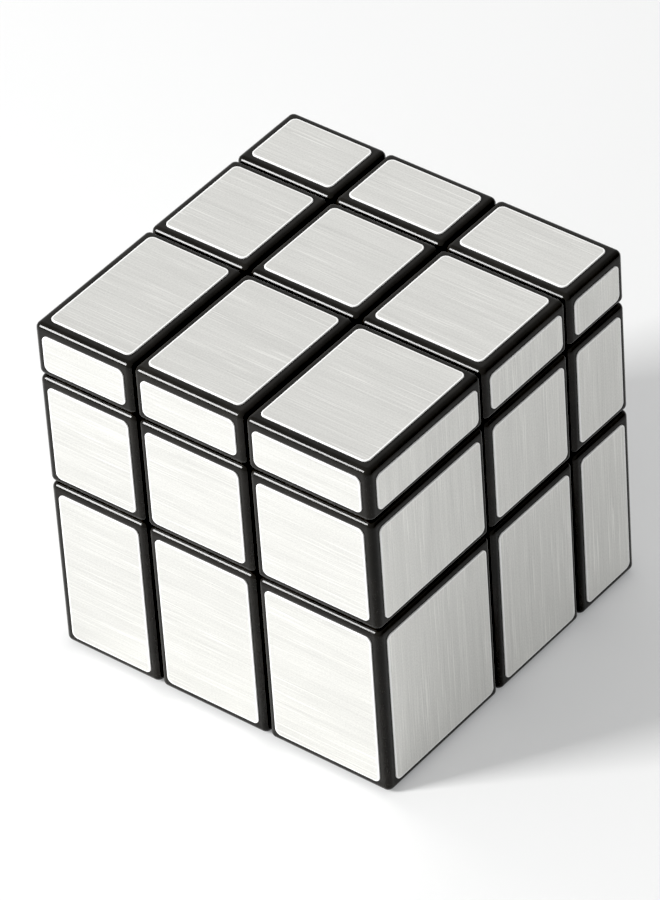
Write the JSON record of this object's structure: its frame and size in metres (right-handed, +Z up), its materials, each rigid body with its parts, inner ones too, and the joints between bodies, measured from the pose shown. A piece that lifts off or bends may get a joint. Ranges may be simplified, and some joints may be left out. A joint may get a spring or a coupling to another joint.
{
  "type": "twisty puzzle cube",
  "caption": "Cube puzzle of layers with unequal thickness: black pieces with silver foil plates turn about a sprung core.",
  "frame": {"origin": "centre of the underside: the middle of the bounding box, on the lowest foil plates", "axes": "+Z up to the thin top layer; -Y out of the front face (thick front layer) and +X out of the right face"},
  "size_m": [0.0574, 0.0574, 0.0574],
  "materials": {
    "outer_plastic": "glossy black ABS",
    "inner_plastic": "satin black ABS with a trace of grease",
    "core_plastic": "satin dark grey nylon",
    "foil": "brushed silver foil",
    "steel": "zinc plated steel",
    "spring_wire": "drawn spring steel"
  },
  "bodies": {
    "core_and_middle": {"core": "core_plastic", "centre_screws": "steel", "screw_washers": "steel", "spring_bottom": "spring_wire", "spring_front": "spring_wire", "spring_left": "spring_wire", "spring_right": "spring_wire", "spring_back": "spring_wire", "spring_top": "spring_wire", "edge_shell_front_left": "outer_plastic", "edge_shell_front_right": "outer_plastic", "edge_shell_back_left": "outer_plastic", "edge_shell_back_right": "outer_plastic", "edge_feet_middle": "inner_plastic", "stickers_middle": "foil"},
    "top_layer": {"edge_shell_top_front": "outer_plastic", "edge_shell_top_left": "outer_plastic", "edge_shell_top_right": "outer_plastic", "edge_shell_top_back": "outer_plastic", "corner_shell_top_front_left": "outer_plastic", "corner_shell_top_front_right": "outer_plastic", "corner_shell_top_back_left": "outer_plastic", "corner_shell_top_back_right": "outer_plastic", "edge_feet_top": "inner_plastic", "corner_feet_top": "inner_plastic", "stickers_top_sides": "foil", "stickers_top_face": "foil"},
    "bottom_layer": {"edge_shell_bottom_front": "outer_plastic", "edge_shell_bottom_left": "outer_plastic", "edge_shell_bottom_right": "outer_plastic", "edge_shell_bottom_back": "outer_plastic", "corner_shell_bottom_front_left": "outer_plastic", "corner_shell_bottom_front_right": "outer_plastic", "corner_shell_bottom_back_left": "outer_plastic", "corner_shell_bottom_back_right": "outer_plastic", "edge_feet_bottom": "inner_plastic", "corner_feet_bottom": "inner_plastic", "stickers_bottom_sides": "foil", "stickers_bottom_face": "foil"},
    "centre_bottom": {"centre_housing_bottom": "inner_plastic", "centre_cap_bottom": "outer_plastic", "centre_sticker_bottom": "foil"},
    "centre_front": {"centre_housing_front": "inner_plastic", "centre_cap_front": "outer_plastic", "centre_sticker_front": "foil"},
    "centre_left": {"centre_housing_left": "inner_plastic", "centre_cap_left": "outer_plastic", "centre_sticker_left": "foil"},
    "centre_right": {"centre_housing_right": "inner_plastic", "centre_cap_right": "outer_plastic", "centre_sticker_right": "foil"},
    "centre_back": {"centre_housing_back": "inner_plastic", "centre_cap_back": "outer_plastic", "centre_sticker_back": "foil"},
    "centre_top": {"centre_housing_top": "inner_plastic", "centre_cap_top": "outer_plastic", "centre_sticker_top": "foil"}
  },
  "joints": [
    {"name": "top_layer_turn", "type": "hinge", "parent": "core_and_middle", "child": "top_layer", "pos_m": [-0.002, 0.006, 0.0387], "axis": [0, 0, 1], "continuous": true},
    {"name": "bottom_layer_turn", "type": "hinge", "parent": "core_and_middle", "child": "bottom_layer", "pos_m": [-0.002, 0.006, 0.0387], "axis": [0, 0, 1], "continuous": true},
    {"name": "centre_bottom_spring_travel", "type": "slide", "parent": "bottom_layer", "child": "centre_bottom", "axis": [0, 0, -1], "range_m": [0, 0.001], "stiffness_N_per_m": 600, "springref_m": -0.003, "deforming": ["spring_bottom"]},
    {"name": "centre_front_spring_travel", "type": "slide", "parent": "core_and_middle", "child": "centre_front", "axis": [0, -1, 0], "range_m": [0, 0.001], "stiffness_N_per_m": 600, "springref_m": -0.003, "deforming": ["spring_front"]},
    {"name": "centre_left_spring_travel", "type": "slide", "parent": "core_and_middle", "child": "centre_left", "axis": [-1, 0, 0], "range_m": [0, 0.001], "stiffness_N_per_m": 600, "springref_m": -0.003, "deforming": ["spring_left"]},
    {"name": "centre_right_spring_travel", "type": "slide", "parent": "core_and_middle", "child": "centre_right", "axis": [1, 0, 0], "range_m": [0, 0.001], "stiffness_N_per_m": 600, "springref_m": -0.003, "deforming": ["spring_right"]},
    {"name": "centre_back_spring_travel", "type": "slide", "parent": "core_and_middle", "child": "centre_back", "axis": [0, 1, 0], "range_m": [0, 0.001], "stiffness_N_per_m": 600, "springref_m": -0.003, "deforming": ["spring_back"]},
    {"name": "centre_top_spring_travel", "type": "slide", "parent": "top_layer", "child": "centre_top", "axis": [0, 0, 1], "range_m": [0, 0.001], "stiffness_N_per_m": 600, "springref_m": -0.003, "deforming": ["spring_top"]}
  ]
}
